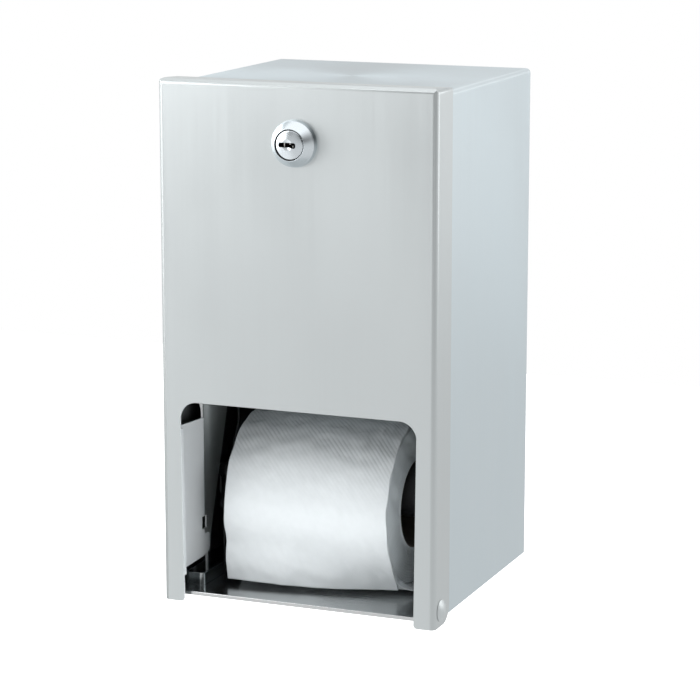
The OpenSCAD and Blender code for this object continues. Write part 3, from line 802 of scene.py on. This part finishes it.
def board_core(node_name, roll):
    """A card tube with the step of its spiral winding."""
    x0, x1 = roll.shift - ROLL_W / 2 + 0.15, roll.shift + ROLL_W / 2 - 0.15
    mouth = [(CORE_R + 0.3, 0), (CORE_R + 0.08, 0.1)]
    inside = [(CORE_R, x) for x in np.linspace(x0 + 0.3, x1 - 0.3, 60)]
    loop = np.array([(r, x0 + inset) for r, inset in mouth] + inside
                    + [(r, x1 - inset) for r, inset in mouth[::-1]]
                    + [(CORE_R + CORE_T, x1), (CORE_R + CORE_T, x0)])

    def moved(points, radius, along):
        turn = np.arctan2(points[..., 2] - roll.height, points[..., 1] - roll.depth) / (2 * math.pi)
        lap = (turn + along / SEAM_PITCH) % 1
        inner = 1 - ease(radius, CORE_R, CORE_R + 0.2)
        return -inner * (0.02 + SEAM_STEP * ease(lap, 0.0, 0.06) * (1 - lap)), np.zeros_like(radius)

    mesh = turned(node_name, loop, "x", (roll.depth, roll.height), 160, moved, sharp=None)
    add_piece(node_name + "_board", mesh, node_name)


# ---- the outer sheet, which hangs from the roll in use ----

SHEET_LENGTH, SHEET_T, SHEET_R = 114, 0.25, IN_USE.radius + 0.6
SHEET_ROWS, SHEET_COLUMNS = 165, 236
# Where it leaves the roll, as an angle in the side view, and the depth and height of its free corners
SHEET_LEAVES = math.radians(205)
LEFT_CORNER, RIGHT_CORNER = np.array([24.1, 7.6]), np.array([37.6, 7.7])
# The power by which the free edge bends back late, toward its right corner, and how low its middle sags
EDGE_POWER, EDGE_SAG = 1.8, 0.8
# The side edges: how far they lie inward at least, how far they wander, and how far each spreads low
# down, where minus is inward
SIDE_INSET, SIDE_WANDER, SPREAD_LEFT, SPREAD_RIGHT = 0.1, 0.7, 1.3, -0.3
# Height, length and seed of the waves all over the sheet and of those in its loose lower part
ALL_WAVES, LOOSE_WAVES = [(0.12, 15, 21), (0.08, 6, 22)], [(0.55, 34, 23), (0.2, 13, 24)]
# How far it lies off the roll, the height of its small crumples and how far its free edge curls in
SHEET_OFF, CRUMPLE_HEIGHT, CURL = 0.1, 0.36, 0.25
EMBOSS_PITCH, EMBOSS_ANGLE, EMBOSS_DEPTH = 2.06, math.radians(45.7), 0.2
# How far along the sheet, as shares of its length, the emboss and the small crumples fade out
EMBOSS_FADE, CRUMPLE_FADE = (0.25, 0.54), (0.26, 0.42)


def emboss(x, run):
    """Depth, 0 to 1, of the fine diagonal lines pressed into the tissue."""
    phase = (x * math.sin(EMBOSS_ANGLE) - run * math.cos(EMBOSS_ANGLE)) * 2 * math.pi / EMBOSS_PITCH
    return (0.5 + 0.5 * np.cos(phase)) ** 1.6


def sheet_line(end):
    """Side view of the outer sheet, from its hidden edge round the roll's front to its free edge."""
    axis = (IN_USE.depth, IN_USE.height)
    leave = arc(axis, SHEET_R, SHEET_LEAVES)
    start = SHEET_LEAVES - (SHEET_LENGTH - np.linalg.norm(end - leave)) / SHEET_R
    on_roll = arc(axis, SHEET_R, np.linspace(start, SHEET_LEAVES, 240))
    line = np.concatenate([on_roll, np.linspace(leave, end, 80)[1:]])
    return smoothed(resampled(line, SHEET_ROWS), 5)


def sheet_relief(x, run, flat):
    """How far the sheet stands off its smooth shape: waves, a loose lower part, emboss and crumples."""
    share = run / SHEET_LENGTH
    free = ease(run, SHEET_LENGTH - 32, SHEET_LENGTH - 8)
    lift = waves(flat, ALL_WAVES) + SHEET_OFF
    lift += free * waves(flat, LOOSE_WAVES)
    patches = 0.75 + 0.25 * ripple(flat, 20, 27)
    lift -= EMBOSS_DEPTH * emboss(x, run) * patches * (1 - 0.92 * ease(share, *EMBOSS_FADE))
    lift += CRUMPLE_HEIGHT * (1 - ease(share, *CRUMPLE_FADE)) * ripple(flat, 8, 26)
    return lift - CURL * ease(run, SHEET_LENGTH - 11, SHEET_LENGTH) ** 1.5


def hanging_sheet():
    """The outer sheet of the roll in use: embossed, a little uneven, and hanging free below."""
    across = np.linspace(0, 1, SHEET_COLUMNS)
    toward_right = across[:, None] ** EDGE_POWER
    sag = np.stack([0 * across, EDGE_SAG * np.sin(math.pi * across)], -1)
    ends = (1 - toward_right) * LEFT_CORNER + toward_right * RIGHT_CORNER - sag
    centre = np.stack([sheet_line(end) for end in ends], 1)
    along = np.gradient(centre, axis=0)
    out = np.stack([along[..., 1], -along[..., 0]], -1)
    out /= np.linalg.norm(out, axis=-1, keepdims=True)
    run, x = np.meshgrid(np.linspace(0, SHEET_LENGTH, SHEET_ROWS), IN_USE.shift + (across - 0.5) * ROLL_W,
                         indexing="ij")
    flat = np.stack([x, run, np.zeros_like(x)], -1)
    lift = sheet_relief(x, run, flat)
    # -1 at the left edge, 1 at the right edge and near 0 between them; each edge wanders in its own way
    side = (2 * across - 1)[None, :] ** 5
    wander = 0.5 + 0.5 * ripple(flat * (0, 1, 0) + (0, 0, 5) * np.sign(side)[..., None], 17, 25)
    low = ease(run, SHEET_LENGTH * 0.45, SHEET_LENGTH * 0.85)
    x = x - side * (SIDE_INSET + SIDE_WANDER * wander)
    x += np.where(side < 0, SPREAD_LEFT, SPREAD_RIGHT) * side * low

    def skin(offset):
        shifted = centre + out * (lift + offset)[..., None]
        return np.stack([x, shifted[..., 0], shifted[..., 1]], -1)

    mesh = shell_mesh("outer_sheet", skin(SHEET_T / 2), skin(-SHEET_T / 2))
    piece = add_piece("outer_sheet", mesh, "paper_tail")


# ---- slack plies under the roll in use ----

PLIES_ROWS, PLIES_COLUMNS, PLIES_END_COLUMNS = 44, 60, 22
# The stretch of the roll that they leave, as angles in the side view, and their sag as depth and height
PLIES_FROM, PLIES_TO = 218, 266
PLIES_SAG = [(32.9, 15.8), (36.3, 10.4), (39.4, 7.7), (43.4, 6.3), (48.4, 5.8), (54.0, 5.8)]
# How far they stick out at their right end, the depths between which they start to, and over what width
BULGE, BULGE_DEPTHS, BULGE_WIDTH = 7.5, (34, 43), 22
# The waves under them, and the number and the height of the ridges that their edges make at each end
PLIES_WAVES, PLIES_RIDGES, PLIES_RELIEF = 0.35, 5.5, 0.55


def plies_skin(line, x0, x1, bulge, unevenness):
    """The plies' outer or inner side: a line of the side view drawn across the roll."""
    across = np.linspace(x0, x1, PLIES_COLUMNS)
    x, depth = np.meshgrid(across, line[:, 0])
    grid = np.stack([x, depth, np.repeat(line[:, None, 1], PLIES_COLUMNS, 1)], -1)
    middle = (np.sin(np.linspace(0, math.pi, PLIES_ROWS))[:, None]
              * np.sin(np.linspace(0, math.pi, PLIES_COLUMNS))[None])
    grid[..., 2] += unevenness * middle * ripple(grid, 14, 31)
    grid[..., 0] += bulge * ease(depth, *BULGE_DEPTHS) * ease(across, x1 - BULGE_WIDTH, x1) ** 2
    return grid


def plies_end(inner, outer, x, inward, bulge):
    """One end of the plies, where their edges show as ridges."""
    share = np.linspace(0, 1, PLIES_END_COLUMNS)
    flat = inner[:, None] * (1 - share[None, :, None]) + outer[:, None] * share[None, :, None]
    grid = np.concatenate([np.full(flat.shape[:2] + (1,), x), flat], -1)
    held = np.sin(share * math.pi)[None] ** 0.5 * np.sin(np.linspace(0, math.pi, PLIES_ROWS))[:, None] ** 0.5
    ridges = 0.5 + 0.5 * np.sin(share * 2 * math.pi * PLIES_RIDGES)[None]
    ply = ridges + 0.6 * ripple(grid * (0, 1, 1), 9, 33)
    grid[..., 0] += inward * PLIES_RELIEF * held * ply
    grid[..., 0] += bulge * share * ease(outer[:, None, 0], *BULGE_DEPTHS)
    return grid


def loose_plies():
    """Slack inner plies that sag under the front of the roll, with the edges of the plies at both ends."""
    angles = np.radians(np.linspace(PLIES_FROM, PLIES_TO, PLIES_ROWS))
    inner = arc((IN_USE.depth, IN_USE.height), IN_USE.radius + 0.05, angles)
    outer = smoothed(resampled(np.array([inner[0], *PLIES_SAG, inner[-1]]), PLIES_ROWS), 4)
    x0, x1 = IN_USE.shift - ROLL_W / 2 + 0.3, IN_USE.shift + ROLL_W / 2 - 0.3
    grids = [
        plies_skin(outer, x0, x1, bulge=BULGE, unevenness=PLIES_WAVES),
        plies_skin(inner, x0, x1, bulge=0, unevenness=0),
        plies_end(inner, outer, x0, inward=1, bulge=0),
        plies_end(inner, outer, x1, inward=-1, bulge=BULGE),
    ]
    add_piece("loose_plies", grids_mesh("loose_plies", grids, sharp=70, weld=0.004), "slack_plies")


wound_roll("roll_lower", IN_USE, seed=3)
wound_roll("roll_upper", IN_RESERVE, seed=8)
board_core("core_lower", IN_USE)
board_core("core_upper", IN_RESERVE)
hanging_sheet()
loose_plies()

# ---- every CAD node gets its finish, and those that no piece replaces show it ----

for node_name, node_object in frame["nodes"].items():
    node_object.data.materials.clear()
    node_object.data.materials.append(MATERIALS[FINISH_OF[node_name]])
